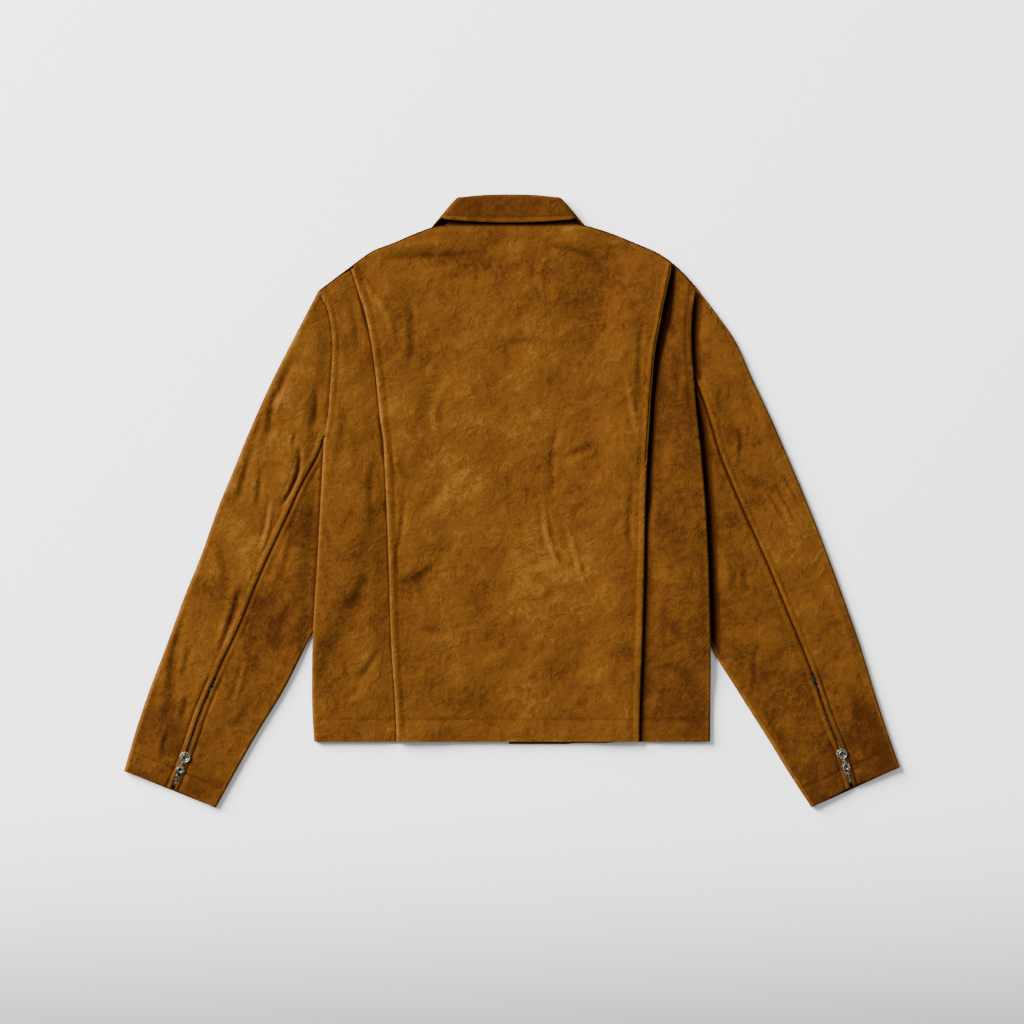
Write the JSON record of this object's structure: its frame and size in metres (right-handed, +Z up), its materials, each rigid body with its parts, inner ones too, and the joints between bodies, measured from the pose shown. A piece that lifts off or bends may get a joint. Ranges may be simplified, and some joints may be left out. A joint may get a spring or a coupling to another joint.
{
  "type": "suede jacket",
  "caption": "Suede jacket laid face down with its back up, sleeves spread, turned-down collar, pleated back edges and zipped cuffs.",
  "frame": {"origin": "middle of the jacket's outline, on the surface that it lies on", "axes": "+X towards the wearer's right sleeve, +Y towards the collar, +Z up, out of the back"},
  "size_m": [0.9702, 0.7671, 0.0122],
  "materials": {
    "suede": "napped, matt",
    "zip_tape": "woven",
    "antique_nickel": "worn satin"
  },
  "bodies": {
    "jacket": {"back_centre": "suede", "back_side_left": "suede", "back_side_right": "suede", "front_left": "suede", "front_right": "suede", "sleeve_top_left": "suede", "sleeve_top_right": "suede", "sleeve_under_left": "suede", "sleeve_under_right": "suede", "collar_fall": "suede", "collar_stand": "suede", "cuff_zip_left_tape_a": "zip_tape", "cuff_zip_left_tape_b": "zip_tape", "cuff_zip_left_chain": "antique_nickel", "cuff_zip_left_slider": "antique_nickel", "cuff_zip_right_tape_a": "zip_tape", "cuff_zip_right_tape_b": "zip_tape", "cuff_zip_right_chain": "antique_nickel", "cuff_zip_right_slider": "antique_nickel", "front_zip_tape_a": "zip_tape", "front_zip_tape_b": "zip_tape", "front_zip_chain": "antique_nickel", "front_zip_slider": "antique_nickel"},
    "left_cuff_pull": {"cuff_zip_left_pull": "antique_nickel"},
    "right_cuff_pull": {"cuff_zip_right_pull": "antique_nickel"},
    "front_pull": {"front_zip_pull": "antique_nickel"}
  },
  "joints": [
    {"name": "left_cuff_pull_hinge", "type": "hinge", "parent": "jacket", "child": "left_cuff_pull", "pos_m": [-0.41821, -0.34455, 0.0084], "axis": [0.9284, -0.3716, 0], "range_deg": [0, 170]},
    {"name": "right_cuff_pull_hinge", "type": "hinge", "parent": "jacket", "child": "right_cuff_pull", "pos_m": [0.41963, -0.34113, 0.0084], "axis": [0.9594, 0.2821, 0], "range_deg": [0, 170]},
    {"name": "front_pull_hinge", "type": "hinge", "parent": "jacket", "child": "front_pull", "pos_m": [-0.008, 0.25, 0.0021], "axis": [1, 0, 0], "range_deg": [0, 170]}
  ]
}
